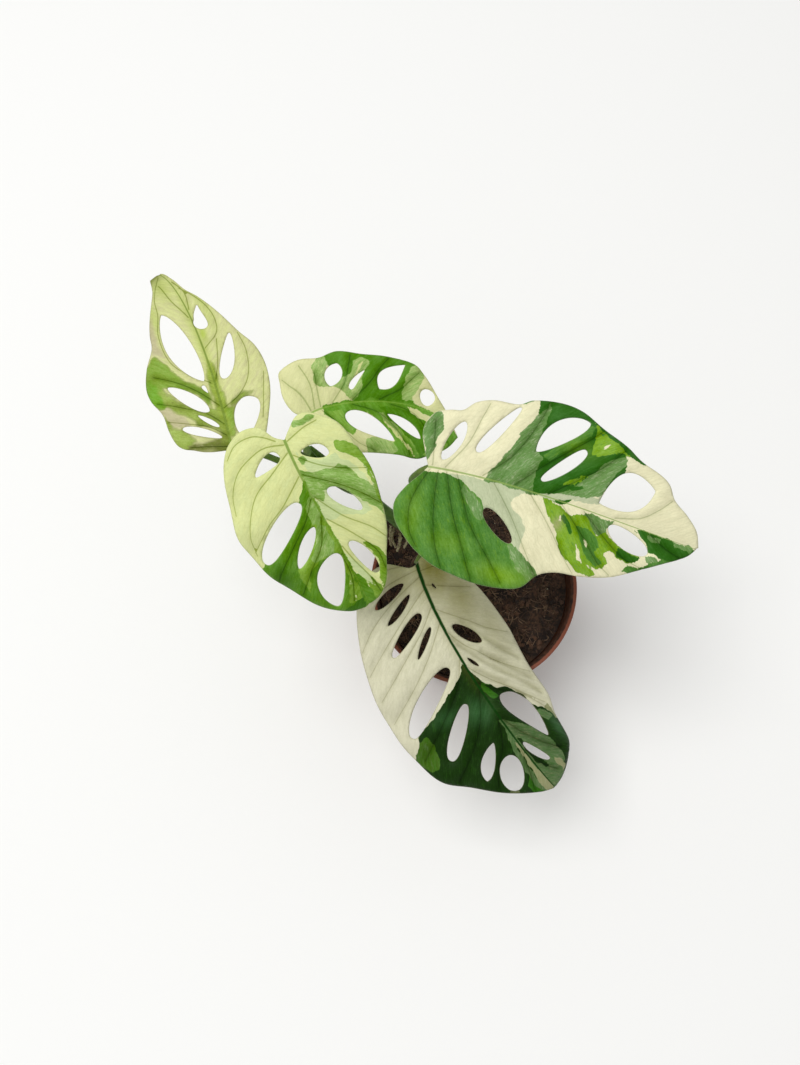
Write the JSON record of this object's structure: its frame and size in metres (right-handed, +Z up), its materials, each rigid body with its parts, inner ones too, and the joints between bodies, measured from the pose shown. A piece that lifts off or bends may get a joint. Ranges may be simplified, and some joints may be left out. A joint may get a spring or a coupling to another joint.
{
  "type": "potted monstera adansonii",
  "caption": "Young variegated Swiss cheese vine with holed green and cream leaves on bent stalks, growing in soil in a tapered round nursery pot.",
  "frame": {"origin": "centre of the pot's flat base", "axes": "+Z up, -Y towards the long front leaf that hangs over the rim, +X towards the large right leaf's tip"},
  "size_m": [0.2772, 0.2541, 0.2507],
  "materials": {
    "pot_plastic": "satin moulded plastic, terracotta brown",
    "peat": "rough fibrous peat",
    "green_stem": "smooth fresh green skin",
    "root": "dry brown root",
    "leaf_blade": "waxy leaf, green and cream variegation"
  },
  "bodies": {
    "root": {"pot": "pot_plastic", "soil": "peat", "vine": "green_stem", "aerial_root_1": "root", "aerial_root_2": "root", "stalk_front": "green_stem", "stalk_right": "green_stem", "stalk_back": "green_stem", "stalk_middle": "green_stem", "stalk_left": "green_stem", "leaf_front": "leaf_blade", "leaf_right": "leaf_blade", "leaf_back": "leaf_blade", "leaf_middle": "leaf_blade", "leaf_left": "leaf_blade"}
  },
  "joints": []
}
